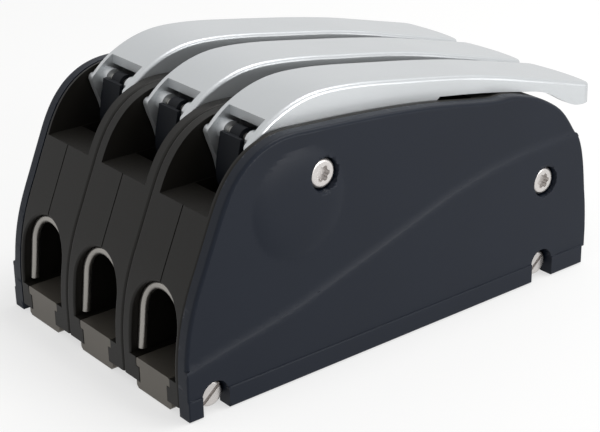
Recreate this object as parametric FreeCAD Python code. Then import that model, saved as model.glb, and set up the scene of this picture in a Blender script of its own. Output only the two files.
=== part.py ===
import FreeCAD, Part
import math
import os

from FreeCAD import Vector as V

os.makedirs("parts", exist_ok=True)

# Profiles are drawn in the X-Z plane, X measured back from the front face and
# Z up from the deck. ORIGIN_X is the middle of the deck bolt pattern.
MODULES = 3
PITCH = 32.0
MODULE_Y = [(n - (MODULES - 1) / 2) * PITCH for n in range(MODULES)]

# Overall length: everything at the rear is placed from BODY_REAR_X
BODY_REAR_X = 168.2
HANDLE_OVERHANG = 6.2
HANDLE_REAR_X = BODY_REAR_X + HANDLE_OVERHANG

DECK_HOLE_FRONT_X = 24.0
DECK_HOLE_REAR_X = BODY_REAR_X - 34.2
DECK_HOLE_R = 3.2
DECK_NUT_FLATS = 10.2
DECK_NUT_DEPTH = 5.4
ORIGIN_X = (DECK_HOLE_FRONT_X + DECK_HOLE_REAR_X) / 2

# Clearances
HINGE_PLAY = 0.05
SEAT_PLAY = 0.05
SIDE_PLAY = 0.6
ROD_PLAY = 0.05

# How far cutting shapes run past the body, and levels under and over the handle
PAST = 5.0
LOW_Z = 40.0
HIGH_Z = 100.0

# Body outline
BODY_BOTTOM_Z = 2.6
FRONT_UPRIGHT_Z = 10.0
FRONT_FACE = [(0.8, 22.0), (2.9, 32.0), (6.6, 42.0)]
FRONT_SLOPE_TOP = (17.7, 67.0)
BODY_TOP = [(21.3, 70.9), (25.6, 74.8), (31.0, 77.9), (38.1, 79.4), (46.0, 79.2),
            (64.0, 77.9), (87.0, 75.6), (105.0, 72.9),
            (BODY_REAR_X - 42.2, 69.4), (BODY_REAR_X - 26.2, 66.3)]
BODY_REAR = [(BODY_REAR_X - 20.1, 63.4), (BODY_REAR_X - 13.5, 58.8), (BODY_REAR_X - 8.6, 52.8),
             (BODY_REAR_X - 5.4, 47.4), (BODY_REAR_X - 3.2, 40.6), (BODY_REAR_X - 1.4, 28.0),
             (BODY_REAR_X, 12.5)]
OUTER_HALF = 13.6
EDGE_ROUND = 0.9
SEAM = 0.22

# Pivots: handle axle, link pin on the handle, cam axle, link pin on the cam
HANDLE_AXIS = (52.4, 64.0)
LINK_AXIS = (36.1, 75.3)
CAM_AXIS = (88.0, 59.9)
CAM_PIN_AXIS = (64.8, 43.9)
HANDLE_AXLE_R = 4.0
CAM_AXLE_R = 4.0
LINK_PIN_R = 1.5
CAM_PIN_R = 2.0
TIE_ROD_AXIS = (BODY_REAR_X - 21.2, 35.7)
TIE_ROD_R = 3.5

# Rope way and working bay
MOUTH_HALF = 11.8
MOUTH_SPRING_Z = 25.0
MOUTH_ROUND = 0.7
REAR_MOUTH_X = BODY_REAR_X - 12.8
THROAT_HALF = 9.4
THROAT_SPRING_Z = 21.5
CHANNEL_HALF = 8.8
CHANNEL_TOP_Z = 28.6
BAY_HALF = MOUTH_HALF
BAY_FRONT_X = 26.6
BAY_REAR_X = BODY_REAR_X - 35.2
BAY_ROOF_X = BAY_REAR_X - 14.5
BAY_ROOF_Z = 64.0
POCKET_HALF = 12.1
POCKET_FLOOR_Z = 59.2
POCKET_REACH = 8.0

# Base plate
PLATE_TOP_Z = 10.65
PLATE_CHAMFER = 0.6
FLANGE_HALF = 8.9
FLANGE_Z = 7.6
NECK_HALF = 7.2
FOOT_HALF = 9.3
FOOT_TOP_Z = 2.4
FOOT_CHAMFER = 0.9
TONGUE_HALF = NECK_HALF + 0.3
PLATE_FRONT_X = 0.1
PLATE_REAR_X = BODY_REAR_X - 0.1
GRIP_FRONT_X = 62.0
GRIP_PITCH = 4.0
GRIP_LAND = 0.8
GRIP_COUNT = 11
GRIP_DEPTH = 0.7

# Handle
HANDLE_HALF = BAY_HALF - SIDE_PLAY
HANDLE_FRONT_X = 20.0
HANDLE_STRAIGHT_X = HANDLE_REAR_X - 62.0
HANDLE_FLARE = [(HANDLE_REAR_X - 44.0, 12.0), (HANDLE_REAR_X - 24.0, 13.2),
                (HANDLE_REAR_X - 14.0, 13.8)]
HANDLE_FLARE_RATE = 0.06
HANDLE_REAR_R = 36.0
HANDLE_CORNER_R = 3.6
HANDLE_CHIN = [(34.2, 60.6), (32.9, 66.6), (31.2, 71.4), (30.1, 74.9)]
HANDLE_TIP = [(30.3, 75.9), (31.0, 76.6)]
HANDLE_BROW = [(34.4, 79.5)]
HANDLE_TOP = [(37.9, 81.9), (45.4, 85.2), (54.0, 87.0), (64.0, 86.9), (80.0, 84.8),
              (100.0, 81.3), (HANDLE_REAR_X - 24.4, 69.7)]
HANDLE_TAIL_FALL = 0.275
HANDLE_UNDER = [(HANDLE_REAR_X + 3.0, 57.9), (HANDLE_REAR_X - 3.4, 57.1),
                (HANDLE_REAR_X - 9.4, 57.4), (HANDLE_REAR_X - 15.1, 60.0),
                (HANDLE_REAR_X - 23.9, 64.9), (HANDLE_REAR_X - 32.4, 67.1),
                (HANDLE_REAR_X - 40.4, 68.8), (HANDLE_REAR_X - 59.4, 72.4),
                (HANDLE_REAR_X - 69.4, 74.0)]
HANDLE_SOLE = [(99.0, 69.6), (69.0, 68.6), (59.0, 56.0), (37.4, 56.8)]
HANDLE_WALL = 2.7
HANDLE_ROUND = 1.3
FORK_HALF = 8.8
FORK_X = 38.3
FORK_TOP_Z = 84.2
FORK_THROAT_Z = 79.0
BOSS_R = 3.0
BOSS_IN = 5.2

# Link, drawn from the link pin, then from the cam pin
LINK_HALF = BOSS_IN - 0.2
LINK_EYE_R = 2.9
LINK_EYE_HALF = 2.4
LINK_SHOULDER = 1.0
LINK_FRONT = [(-4.2, LINK_SHOULDER), (-5.3, -4.0), (-6.3, -9.4), (-6.0, -14.7), (-2.7, -20.0)]
LINK_FRONT_TIP = [(-20.3, 4.0), (-7.2, -3.0), (-2.5, -4.0)]
LINK_REAR_TIP = [(5.7, 3.9), (-2.2, 4.8), (-13.8, 8.7)]
LINK_REAR = [(5.8, -16.9), (3.2, -9.9), (3.4, LINK_SHOULDER)]
LINK_TIP_HALF = 3.0
LINK_TIP_R = 4.3
LINK_FORK_R = 14.5
SLOT_TRAVEL = (5.27, -0.52)
SLOT_EASE = 0.45

# Cam
CAM_HALF = 8.0
CAM_FORK_HALF = LINK_TIP_HALF + 0.3
CAM_FORK_R = 11.2
CAM_HUB_R = 9.0
CAM_SLEEVE_R = 5.1
CAM_SLEEVE_END = BAY_HALF - 0.3
TOOTH_FIRST = -126.0
TOOTH_STEP = 5.0
TOOTH_COUNT = 12
TOOTH_DEPTH = 1.7
FACE_R_FIRST = 38.0
FACE_R_LAST = 43.4
CAM_HEEL = 9.0
CAM_BACK = [(19.6, -22.1), (13.6, -10.6)]
CAM_BROW = (-14.8, -2.8)
CAM_EYE = [(-2.6, 4.9), (-5.2, 2.6), (-5.6, -0.4)]
CAM_WINDOW = [(7.1, -32.6), (16.1, -30.6), (11.1, -19.1), (4.1, -17.1)]
CAM_WINDOW_R = 1.5

# Torsion spring on the cam's sleeve, with a peg on the far shell half
SPRING_WIRE_R = 0.45
SPRING_R = 5.9
SPRING_HALF_TURNS = 5
SPRING_PITCH = 1.03
SPRING_BEND = 1.0
SPRING_TAIL = 2.6
SPRING_LEG = 11.0
SPRING_START = CAM_HALF + SPRING_WIRE_R + 0.12
SPRING_TAIL_AXIS = (CAM_AXIS[0] - SPRING_R, CAM_AXIS[1] - SPRING_BEND)
SPRING_TAIL_ROOM = SPRING_WIRE_R + 0.25
SPRING_TAIL_DEPTH = 3.4
PEG_R = 1.3
PEG_START = CAM_HALF + 0.6
PEG_AXIS = (CAM_AXIS[0] + SPRING_R + SPRING_WIRE_R + PEG_R + 0.05, CAM_AXIS[1] - 8.0)

# Bails
BAIL_WIRE_R = 1.4
BAIL_HALF = 10.6
BAIL_FOOT_Z = 12.0
BAIL_LEAN = 6.8
BAIL_FRONT_X = 3.7
BAIL_REAR_X = BODY_REAR_X - 3.8

# Fasteners
HEAD_R = 4.74
HEAD_HEIGHT = 2.7
HEAD_ROUND = 1.1
SCREW_R = 2.5
SCREW_LENGTH = 12.0
SOCKET_R = 2.6
SOCKET_DEPTH = 1.7
BASE_BOLT_R = 2.0
BASE_BOLT_Z = 5.0
BASE_BOLT_X = [9.75, BODY_REAR_X - 21.6]
BASE_HEAD_R = 4.2
BASE_HEAD_HEIGHT = 2.5
BASE_HEAD_ROUND = 0.9
DRIVER_SLOT_HALF = 0.6
DRIVER_SLOT_DEPTH = 1.2
DRIVER_SLOT_ANGLE = -40.0
BASE_NUT_FLATS = 7.0
BASE_NUT_HEIGHT = 2.4
BOLT_PROUD = 0.6

# Side covers
COVER_FACE = 4.2
COVER_PANEL = 4.9
COVER_BEAD = 5.3
COVER_BEAD_Z = 6.7
COVER_BEAD_SHORT = 1.6
COVER_ROUND = 1.2
PANEL_ROUND = 0.6
BEAD_ROUND = 0.4
COVER_CREASE = [(-PAST, 16.0), (2.4, 16.5), (13.2, 18.7), (26.9, 21.2), (42.0, 24.4), (72.5, 33.4),
                (91.6, 39.4), (104.7, 43.3), (121.6, 46.8), (BODY_REAR_X - 29.1, 48.9),
                (BODY_REAR_X - 11.0, 49.4), (BODY_REAR_X + PAST, 49.0)]
RECESS_R = 5.3
RECESS_FLOOR = 1.1
NOTCH_HALF = 4.8
NOTCH_TOP_Z = [10.3, 10.9]

# Outer ends across the row
ROW_HALF = MODULE_Y[-1] + OUTER_HALF


def save(name, shape):
    placed = shape.removeSplitter()
    placed.translate(V(-ORIGIN_X, 0, 0))
    placed.exportStep("parts/" + name + ".step")


def at(point, y=0.0):
    return V(point[0], y, point[1])


def from_axis(axis, offsets):
    return [(axis[0] + x, axis[1] + z) for x, z in offsets]


def line(a, b):
    return Part.makeLine(at(a), at(b))


def curve(points, start=None, end=None):
    spline = Part.BSplineCurve()
    tangents = {}
    if start and end:
        tangents = {"InitialTangent": V(start[0], 0, start[1]), "FinalTangent": V(end[0], 0, end[1])}
    spline.interpolate(Points=[at(p) for p in points], **tangents)
    return spline.toShape()


def prism(edges, y0, y1):
    face = Part.Face(Part.Wire(edges))
    face.translate(V(0, y0, 0))
    return face.extrude(V(0, y1 - y0, 0))


def polygon(points, y0, y1):
    closed = points + points[:1]
    return prism([line(a, b) for a, b in zip(closed, closed[1:])], y0, y1)


def box(x0, x1, y0, y1, z0, z1):
    return Part.makeBox(x1 - x0, y1 - y0, z1 - z0, V(x0, y0, z0))


def rod(axis, radius, y0, y1):
    return Part.makeCylinder(radius, y1 - y0, at(axis, y0), V(0, 1, 0))


def hexagon(flats, axis, direction, height):
    corner = flats / math.sqrt(3)
    turn = V(0, 0, 1).cross(direction)
    side = turn if turn.Length > 0.1 else V(1, 0, 0)
    points = []
    for k in range(7):
        spin = FreeCAD.Rotation(direction, 60 * k)
        points.append(axis + spin.multVec(side) * corner)
    return Part.Face(Part.makePolygon(points)).extrude(direction * height)


def mirrored(shape):
    return shape.mirror(V(0, 0, 0), V(0, 1, 0))


def moved(shape, y):
    copy = shape.copy()
    copy.translate(V(0, y, 0))
    return copy


def middle_of(edge):
    return edge.valueAt((edge.FirstParameter + edge.LastParameter) / 2)


def rounded_face(shape, radius, y):
    """Rounds every edge of the flat side that lies at y."""
    edges = []
    for edge in shape.Edges:
        box_y = edge.BoundBox
        if abs(box_y.YMin - y) < 1e-4 and abs(box_y.YMax - y) < 1e-4:
            edges.append(edge)
    return shape.makeFillet(radius, edges)


# Outlines

def drawn_in(points, inset):
    """Outline points moved towards the middle of the body, by inset at its ends and top."""
    half = BODY_REAR_X / 2
    top_z = max(z for x, z in BODY_TOP)
    return [(half + (x - half) * (1 - inset / half), z * (1 - inset / top_z)) for x, z in points]


def body_outline(z0, inset=0.0):
    foot, upright = drawn_in([(0, z0), (0, FRONT_UPRIGHT_Z)], inset)
    face = drawn_in(FRONT_FACE, inset)
    top = drawn_in([FRONT_SLOPE_TOP] + BODY_TOP, inset)
    rear = [top[-1]] + drawn_in(BODY_REAR, inset)
    heel = (rear[-1][0], foot[1])
    return [
        line(foot, upright),
        curve([upright] + face, (0, 1), (0.43, 1)),
        line(face[-1], top[0]),
        curve(top, (0.43, 1), (1, -0.33)),
        curve(rear, (1, -0.33), (0.04, -1)),
        line(rear[-1], heel),
        line(heel, foot),
    ]


def arch(half, spring_z, bottom_z, x0, x1):
    """A round-topped passage along X."""
    left = V(x0, -half, spring_z)
    right = V(x0, half, spring_z)
    edges = [
        Part.makeLine(V(x0, -half, bottom_z), left),
        Part.Arc(left, V(x0, 0, spring_z + half), right).toShape(),
        Part.makeLine(right, V(x0, half, bottom_z)),
        Part.makeLine(V(x0, half, bottom_z), V(x0, -half, bottom_z)),
    ]
    return Part.Face(Part.Wire(edges)).extrude(V(x1 - x0, 0, 0))


# Bails

def bail(radius, lean, x):
    rise = MOUTH_SPRING_Z - BAIL_FOOT_Z
    legs = [Part.makeCylinder(radius, rise, V(0, y, 0)) for y in (-BAIL_HALF, BAIL_HALF)]
    end = Part.Face(Part.Wire(Part.makeCircle(radius, V(0, -BAIL_HALF, rise))))
    bow = end.revolve(V(0, 0, rise), V(1, 0, 0), -180)
    hoop = bow.fuse(legs)
    hoop.rotate(V(0, 0, 0), V(0, 1, 0), lean)
    hoop.translate(V(x, 0, BAIL_FOOT_Z))
    return hoop


# Shells

def shell_blank(outer):
    blank = prism(body_outline(BODY_BOTTOM_Z), -outer, 0)
    edges = []
    for edge in blank.Edges:
        b = edge.BoundBox
        on_side = abs(b.YMin + outer) < 1e-4 and abs(b.YMax + outer) < 1e-4
        if on_side and b.ZMax > BODY_BOTTOM_Z + 1:
            edges.append(edge)
    return blank.makeFillet(EDGE_ROUND, edges)


def mouths():
    """The two rope mouths and the room for the base plate, which open the shell's ends."""
    z0 = PLATE_TOP_Z
    front = arch(MOUTH_HALF, MOUTH_SPRING_Z, z0, -PAST, BAY_FRONT_X + 1)
    rear = arch(MOUTH_HALF, MOUTH_SPRING_Z, z0, REAR_MOUTH_X, BODY_REAR_X + PAST)
    flange_room = box(-PAST, BODY_REAR_X + PAST, -FLANGE_HALF - SEAT_PLAY,
                      FLANGE_HALF + SEAT_PLAY, FLANGE_Z, z0 + 0.01)
    neck_room = box(-PAST, BODY_REAR_X + PAST, -TONGUE_HALF, TONGUE_HALF, 0, FLANGE_Z + 0.01)
    return [front, rear, flange_room, neck_room]


def mouth_rims(shell):
    """Edges where the rope mouths meet the front and rear faces."""
    rims = []
    for edge in shell.Edges:
        middle = middle_of(edge)
        rise = max(0, middle.z - MOUTH_SPRING_Z)
        on_arch = abs(math.hypot(middle.y, rise) - MOUTH_HALF) < 0.1 if rise else \
            abs(abs(middle.y) - MOUTH_HALF) < 0.1
        at_end = middle.x < BAY_FRONT_X / 2 or middle.x > REAR_MOUTH_X + 5
        long_enough = edge.BoundBox.ZLength > 3 and edge.BoundBox.XLength < 6
        if on_arch and at_end and long_enough and middle.z > PLATE_TOP_Z:
            rims.append(edge)
    return rims


def rope_way():
    """The working bay between the mouths and the open pocket above the front one."""
    z0 = PLATE_TOP_Z
    throat = arch(THROAT_HALF, THROAT_SPRING_Z, z0, BAY_REAR_X - 1, REAR_MOUTH_X + 1)
    channel = box(BAY_FRONT_X, BAY_REAR_X, -CHANNEL_HALF, CHANNEL_HALF, z0, CHANNEL_TOP_Z + 1)
    bay = polygon([(BAY_FRONT_X, CHANNEL_TOP_Z), (BAY_FRONT_X, HIGH_Z), (BAY_ROOF_X, HIGH_Z),
                   (BAY_ROOF_X, BAY_ROOF_Z), (BAY_REAR_X, BAY_ROOF_Z),
                   (BAY_REAR_X, CHANNEL_TOP_Z)], -BAY_HALF, BAY_HALF)
    pocket = box(-PAST, BAY_FRONT_X + POCKET_REACH, -POCKET_HALF, POCKET_HALF, POCKET_FLOOR_Z,
                 HIGH_Z)
    return [throat, channel, bay, pocket]


def shell_bores():
    reach = PITCH
    bores = [
        rod(HANDLE_AXIS, HANDLE_AXLE_R + ROD_PLAY, -reach, reach),
        rod(TIE_ROD_AXIS, TIE_ROD_R + ROD_PLAY, -reach, reach),
        rod(CAM_AXIS, CAM_AXLE_R + ROD_PLAY, -OUTER_HALF, OUTER_HALF),
    ]
    for x in BASE_BOLT_X:
        bores.append(rod((x, BASE_BOLT_Z), BASE_BOLT_R + ROD_PLAY, -reach, reach))
    grooves = [bail(BAIL_WIRE_R + SEAT_PLAY, BAIL_LEAN, BAIL_FRONT_X),
               bail(BAIL_WIRE_R + SEAT_PLAY, -BAIL_LEAN, BAIL_REAR_X)]
    return bores + grooves


def seam_groove():
    """Shallow groove all round the plane where the two halves meet."""
    whole = prism(body_outline(BODY_BOTTOM_Z), -SEAM, SEAM)
    return whole.cut(prism(body_outline(BODY_BOTTOM_Z, SEAM), -SEAM, SEAM))


def spring_peg():
    return rod(PEG_AXIS, PEG_R, PEG_START, BAY_HALF + 0.5)


def make_shell(outer, side):
    """One half of a module. side is -1 for the near half, 1 for the far half."""
    half = shell_blank(outer).cut(mouths())
    half = half.makeFillet(MOUTH_ROUND, mouth_rims(half))
    if side > 0:
        half = mirrored(half)
    half = half.cut(rope_way() + shell_bores() + [seam_groove()])
    if side > 0:
        half = half.fuse(spring_peg())
    return half


# Base plate

def make_base_plate():
    chamfer = PLATE_CHAMFER
    outline = [
        (-FOOT_HALF + FOOT_CHAMFER, 0), (FOOT_HALF - FOOT_CHAMFER, 0),
        (FOOT_HALF, FOOT_CHAMFER), (FOOT_HALF, FOOT_TOP_Z),
        (NECK_HALF, FOOT_TOP_Z), (NECK_HALF, FLANGE_Z), (FLANGE_HALF, FLANGE_Z),
        (FLANGE_HALF, PLATE_TOP_Z - chamfer), (FLANGE_HALF - chamfer, PLATE_TOP_Z),
        (-FLANGE_HALF + chamfer, PLATE_TOP_Z), (-FLANGE_HALF, PLATE_TOP_Z - chamfer),
        (-FLANGE_HALF, FLANGE_Z), (-NECK_HALF, FLANGE_Z), (-NECK_HALF, FOOT_TOP_Z),
        (-FOOT_HALF, FOOT_TOP_Z), (-FOOT_HALF, FOOT_CHAMFER),
    ]
    points = [V(PLATE_FRONT_X, y, z) for y, z in outline]
    face = Part.Face(Part.makePolygon(points + points[:1]))
    plate = face.extrude(V(PLATE_REAR_X - PLATE_FRONT_X, 0, 0))
    cuts = []
    for x in (DECK_HOLE_FRONT_X, DECK_HOLE_REAR_X):
        cuts.append(Part.makeCylinder(DECK_HOLE_R, PLATE_TOP_Z + 1, V(x, 0, -0.5)))
        floor = V(x, 0, PLATE_TOP_Z - DECK_NUT_DEPTH)
        cuts.append(hexagon(DECK_NUT_FLATS, floor, V(0, 0, 1), DECK_NUT_DEPTH + 1))
    for x in BASE_BOLT_X:
        cuts.append(rod((x, BASE_BOLT_Z), BASE_BOLT_R + ROD_PLAY, -PITCH, PITCH))
    for k in range(GRIP_COUNT):
        x = GRIP_FRONT_X + k * GRIP_PITCH
        end = x + GRIP_PITCH - GRIP_LAND
        notch = polygon([(x, PLATE_TOP_Z + 0.1), (end, PLATE_TOP_Z + 0.1),
                         (end, PLATE_TOP_Z - GRIP_DEPTH)], -FOOT_HALF, FOOT_HALF)
        cuts.append(notch)
    return plate.cut(cuts)


# Handle

def tail_top_z(x):
    last_x, last_z = HANDLE_TOP[-1]
    return last_z - HANDLE_TAIL_FALL * (x - last_x)


def handle_side(inset):
    """Side outline of the handle, drawn in by inset for the hollow inside."""
    end_x = HANDLE_UNDER[0][0]
    tail = (end_x, tail_top_z(end_x) - inset)
    fall = (1, -HANDLE_TAIL_FALL)
    if inset:
        top = [(FORK_X + inset, FORK_TOP_Z - inset)]
        top += [(x, z - inset) for x, z in HANDLE_TOP[2:]]
        front_x = top[0][0]
        return [curve(top, (1, 0.3), fall), line(top[-1], tail), line(tail, (end_x, LOW_Z)),
                line((end_x, LOW_Z), (front_x, LOW_Z)), line((front_x, LOW_Z), top[0])]
    tip = [HANDLE_CHIN[-1]] + HANDLE_TIP
    sole = [HANDLE_UNDER[-1]] + HANDLE_SOLE + HANDLE_CHIN[:1]
    edges = [Part.Arc(at(tip[0]), at(tip[1]), at(tip[2])).toShape()]
    edges.append(curve([tip[2]] + HANDLE_BROW + HANDLE_TOP[:1], (1, 0.9), (1, 0.55)))
    edges.append(curve(HANDLE_TOP, (1, 0.55), fall))
    edges.append(line(HANDLE_TOP[-1], tail))
    edges.append(line(tail, HANDLE_UNDER[0]))
    edges.append(curve(HANDLE_UNDER))
    edges += [line(a, b) for a, b in zip(sole, sole[1:])]
    edges.append(curve(HANDLE_CHIN, (-0.16, 1), (-0.3, 1)))
    return edges


def handle_plan(inset):
    """Plan of the handle: straight sides that flare to a rounded rear end."""
    half = HANDLE_HALF - inset
    flare_x, flare_y = HANDLE_FLARE[-1]
    centre_x = HANDLE_REAR_X - HANDLE_REAR_R
    corner_y = flare_y + HANDLE_FLARE_RATE * (HANDLE_REAR_X - HANDLE_CORNER_R - flare_x) - inset
    corner_x = centre_x + math.sqrt(HANDLE_REAR_R ** 2 - corner_y ** 2) - inset
    corner = V(corner_x, corner_y, LOW_Z)
    half_way = math.asin(corner_y / HANDLE_REAR_R) / 2
    on_end = V(centre_x + HANDLE_REAR_R * math.cos(half_way) - inset,
               HANDLE_REAR_R * math.sin(half_way), LOW_Z)
    flare = Part.BSplineCurve()
    flare.interpolate(Points=[V(HANDLE_STRAIGHT_X, half, LOW_Z)]
                      + [V(x, y - inset, LOW_Z) for x, y in HANDLE_FLARE],
                      InitialTangent=V(1, 0, 0), FinalTangent=V(1, HANDLE_FLARE_RATE, 0))
    edges = [
        Part.makeLine(V(HANDLE_FRONT_X, half, LOW_Z), V(HANDLE_STRAIGHT_X, half, LOW_Z)),
        flare.toShape(),
        Part.makeLine(V(flare_x, flare_y - inset, LOW_Z), corner),
        Part.Arc(corner, on_end, V(HANDLE_REAR_X - inset, 0, LOW_Z)).toShape(),
    ]
    edges += [edge.mirror(V(0, 0, 0), V(0, 1, 0)) for edge in edges]
    edges.append(Part.makeLine(V(HANDLE_FRONT_X, -half, LOW_Z), V(HANDLE_FRONT_X, half, LOW_Z)))
    height = HIGH_Z - LOW_Z
    plan = Part.Face(Part.Wire(Part.__sortEdges__(edges))).extrude(V(0, 0, height))
    corners = []
    for edge in plan.Edges:
        middle = middle_of(edge)
        upright = edge.BoundBox.ZLength > height / 2
        if upright and middle.x > corner_x - 1 and abs(middle.y) > corner_y - 1:
            corners.append(edge)
    return plan.makeFillet(HANDLE_CORNER_R, corners)


def handle_top_z(x):
    """Height of the top of the handle at x, straight between the outline's points."""
    for (x0, z0), (x1, z1) in zip(HANDLE_TOP, HANDLE_TOP[1:]):
        if x < x1:
            return z0 + (z1 - z0) * (x - x0) / (x1 - x0)
    return tail_top_z(x)


def handle_rim(outer):
    """The edges round the top of the handle, behind the nose."""
    rim = []
    for edge in outer.Edges:
        middle = middle_of(edge)
        outside = abs(middle.y) > HANDLE_HALF / 2 or middle.x > HANDLE_REAR_X - 1
        on_top = abs(middle.z - handle_top_z(middle.x)) < HANDLE_ROUND
        if outside and on_top and middle.x > HANDLE_TOP[0][0]:
            rim.append(edge)
    return rim


def make_handle():
    reach = HANDLE_FLARE[-1][1] + PAST
    outer = prism(handle_side(0), -reach, reach).common(handle_plan(0))
    outer = outer.makeFillet(HANDLE_ROUND, handle_rim(outer))
    hollow = prism(handle_side(HANDLE_WALL), -reach, reach).common(handle_plan(HANDLE_WALL))
    fork = box(0, FORK_X, -FORK_HALF, FORK_HALF, LOW_Z, HIGH_Z)
    throat = box(FORK_X - 1, FORK_X + HANDLE_WALL + 1, -FORK_HALF, FORK_HALF, LOW_Z, FORK_THROAT_Z)
    handle = outer.cut([hollow, fork, throat])
    bosses = []
    for side in (-1, 1):
        y0, y1 = sorted((side * BOSS_IN, side * (FORK_HALF + 0.5)))
        bosses.append(rod(LINK_AXIS, BOSS_R, y0, y1))
    handle = handle.fuse(bosses)
    bores = [rod(HANDLE_AXIS, HANDLE_AXLE_R + HINGE_PLAY, -reach, reach),
             rod(LINK_AXIS, LINK_PIN_R + ROD_PLAY, -reach, reach)]
    return handle.cut(bores)


# Link

def link_outline():
    end = (CAM_PIN_AXIS[0] + SLOT_TRAVEL[0], CAM_PIN_AXIS[1] + SLOT_TRAVEL[1])
    front = from_axis(LINK_AXIS, LINK_FRONT) + from_axis(CAM_PIN_AXIS, LINK_FRONT_TIP)
    rear = from_axis(CAM_PIN_AXIS, LINK_REAR_TIP) + from_axis(LINK_AXIS, LINK_REAR)
    under = (end[0], end[1] - LINK_TIP_R)
    return [
        curve(front),
        line(front[-1], under),
        Part.Arc(at(under), at((end[0] + LINK_TIP_R, end[1])), at(rear[0])).toShape(),
        curve(rear),
        line(rear[-1], front[0]),
    ]


def make_link():
    reach = LINK_HALF + PAST
    body = prism(link_outline(), -LINK_HALF, LINK_HALF)
    body = body.fuse(rod(LINK_AXIS, LINK_EYE_R, -LINK_EYE_HALF, LINK_EYE_HALF))
    cuts = [rod(CAM_PIN_AXIS, LINK_FORK_R, -reach, -LINK_TIP_HALF),
            rod(CAM_PIN_AXIS, LINK_FORK_R, LINK_TIP_HALF, reach),
            rod(LINK_AXIS, BOSS_R + 0.3, LINK_EYE_HALF, reach),
            rod(LINK_AXIS, BOSS_R + 0.3, -reach, -LINK_EYE_HALF),
            rod(LINK_AXIS, LINK_PIN_R + HINGE_PLAY, -reach, reach)]
    start = V(CAM_PIN_AXIS[0], 0, CAM_PIN_AXIS[1])
    travel = V(SLOT_TRAVEL[0], 0, SLOT_TRAVEL[1])
    slot_r = CAM_PIN_R + SLOT_EASE
    across = V(-travel.z, 0, travel.x).normalize() * slot_r
    ends = [start, start + travel]
    corners = [ends[0] + across, ends[1] + across, ends[1] - across, ends[0] - across]
    middle = Part.Face(Part.makePolygon(corners + corners[:1]))
    middle.translate(V(0, -reach, 0))
    slot = middle.extrude(V(0, 2 * reach, 0))
    for point in ends:
        slot = slot.fuse(rod((point.x, point.z), slot_r, -reach, reach))
    return body.cut(cuts + [slot])


# Cam

def cam_radius(angle):
    share = (angle - TOOTH_FIRST) / (TOOTH_STEP * TOOTH_COUNT)
    return FACE_R_FIRST + (FACE_R_LAST - FACE_R_FIRST) * share


def on_cam(angle, radius):
    a = math.radians(angle)
    return (CAM_AXIS[0] + radius * math.cos(a), CAM_AXIS[1] + radius * math.sin(a))


def make_cam():
    teeth = []
    for k in range(TOOTH_COUNT):
        a = TOOTH_FIRST + k * TOOTH_STEP
        teeth.append(on_cam(a, cam_radius(a) - TOOTH_DEPTH))
        teeth.append(on_cam(a + TOOTH_STEP * 0.3, cam_radius(a)))
        teeth.append(on_cam(a + TOOTH_STEP * 0.45, cam_radius(a)))
    last = TOOTH_FIRST + TOOTH_COUNT * TOOTH_STEP
    rear = on_cam(last, cam_radius(last) - TOOTH_DEPTH)
    heel = on_cam(last + 8, cam_radius(last) - CAM_HEEL)
    hub_rear = on_cam(-18, CAM_HUB_R)
    hub_top = on_cam(120, CAM_HUB_R)
    eye = from_axis(CAM_PIN_AXIS, CAM_EYE)
    points = teeth + [rear, heel]
    edges = [line(a, b) for a, b in zip(points, points[1:])]
    edges.append(curve([heel] + from_axis(CAM_AXIS, CAM_BACK) + [hub_rear]))
    edges.append(Part.Arc(at(hub_rear), at(on_cam(50, CAM_HUB_R)), at(hub_top)).toShape())
    edges.append(curve([hub_top] + from_axis(CAM_AXIS, [CAM_BROW]) + [eye[0]]))
    edges.append(Part.Arc(at(eye[0]), at(eye[1]), at(eye[2])).toShape())
    edges.append(line(eye[2], points[0]))
    cam = prism(edges, -CAM_HALF, CAM_HALF)
    cam = cam.fuse(rod(CAM_AXIS, CAM_SLEEVE_R, -CAM_SLEEVE_END, CAM_SLEEVE_END))
    throat = polygon([CAM_PIN_AXIS] + from_axis(CAM_PIN_AXIS, [(-14, -2), (-14, 24), (5, 24)]),
                     -CAM_FORK_HALF, CAM_FORK_HALF)
    window = polygon(from_axis(CAM_AXIS, CAM_WINDOW), -CAM_HALF, CAM_HALF)
    cuts = [
        throat,
        rod(CAM_PIN_AXIS, CAM_FORK_R, -CAM_FORK_HALF, CAM_FORK_HALF),
        rod(CAM_PIN_AXIS, CAM_PIN_R + ROD_PLAY, -BAY_HALF, BAY_HALF),
        rod(CAM_AXIS, CAM_AXLE_R + HINGE_PLAY, -BAY_HALF, BAY_HALF),
        window.makeFillet(CAM_WINDOW_R, [e for e in window.Edges if e.BoundBox.YLength > 1]),
        rod(SPRING_TAIL_AXIS, SPRING_TAIL_ROOM, CAM_HALF - SPRING_TAIL_DEPTH, CAM_HALF + 1),
    ]
    return cam.cut(cuts)


def wire_bend(start, centre, heading, angle):
    """Bends the wire from start round centre, setting off in the direction of heading."""
    end = Part.Face(Part.Wire(Part.makeCircle(SPRING_WIRE_R, start, heading)))
    return end.revolve(centre, (start - centre).cross(heading), angle)


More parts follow.
